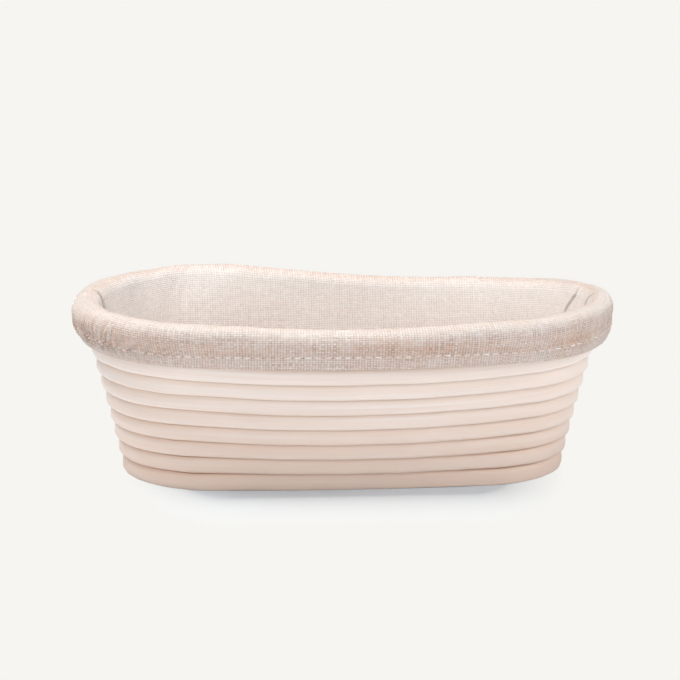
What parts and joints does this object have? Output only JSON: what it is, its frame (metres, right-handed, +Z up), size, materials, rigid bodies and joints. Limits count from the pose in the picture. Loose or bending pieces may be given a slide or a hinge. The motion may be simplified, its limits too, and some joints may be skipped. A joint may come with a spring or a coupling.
{
  "type": "proofing basket",
  "caption": "Oval coiled-cane proofing basket with a fitted linen liner folded over its rim, holding dough while it rises; the liner pulls off upwards.",
  "frame": {"origin": "centre of the foot, on the surface that the basket stands on", "axes": "+X along the basket's length, +Y to the back where the canes climb, +Z up"},
  "size_m": [0.2556, 0.155, 0.0846],
  "materials": {
    "cane": "smooth pale split cane",
    "peg_wood": "plain wood",
    "linen": "undyed plain weave",
    "elastic": "braided elastic",
    "thread": "spun thread"
  },
  "bodies": {
    "basket": {"base_core": "cane", "base_cane": "cane", "lower_wall_cane": "cane", "middle_wall_cane": "cane", "upper_wall_cane": "cane", "base_pegs": "peg_wood", "wall_pegs": "peg_wood"},
    "liner": {"liner_floor": "linen", "liner_side": "linen", "hem_elastic": "elastic", "hem_thread": "thread", "floor_seam_thread": "thread", "side_seam_thread": "thread"}
  },
  "joints": [
    {"name": "liner_lift", "type": "slide", "parent": "basket", "child": "liner", "axis": [0, 0, 1], "range_m": [0, 0.11], "deforming": ["liner_side", "hem_elastic", "hem_thread", "side_seam_thread"]}
  ]
}
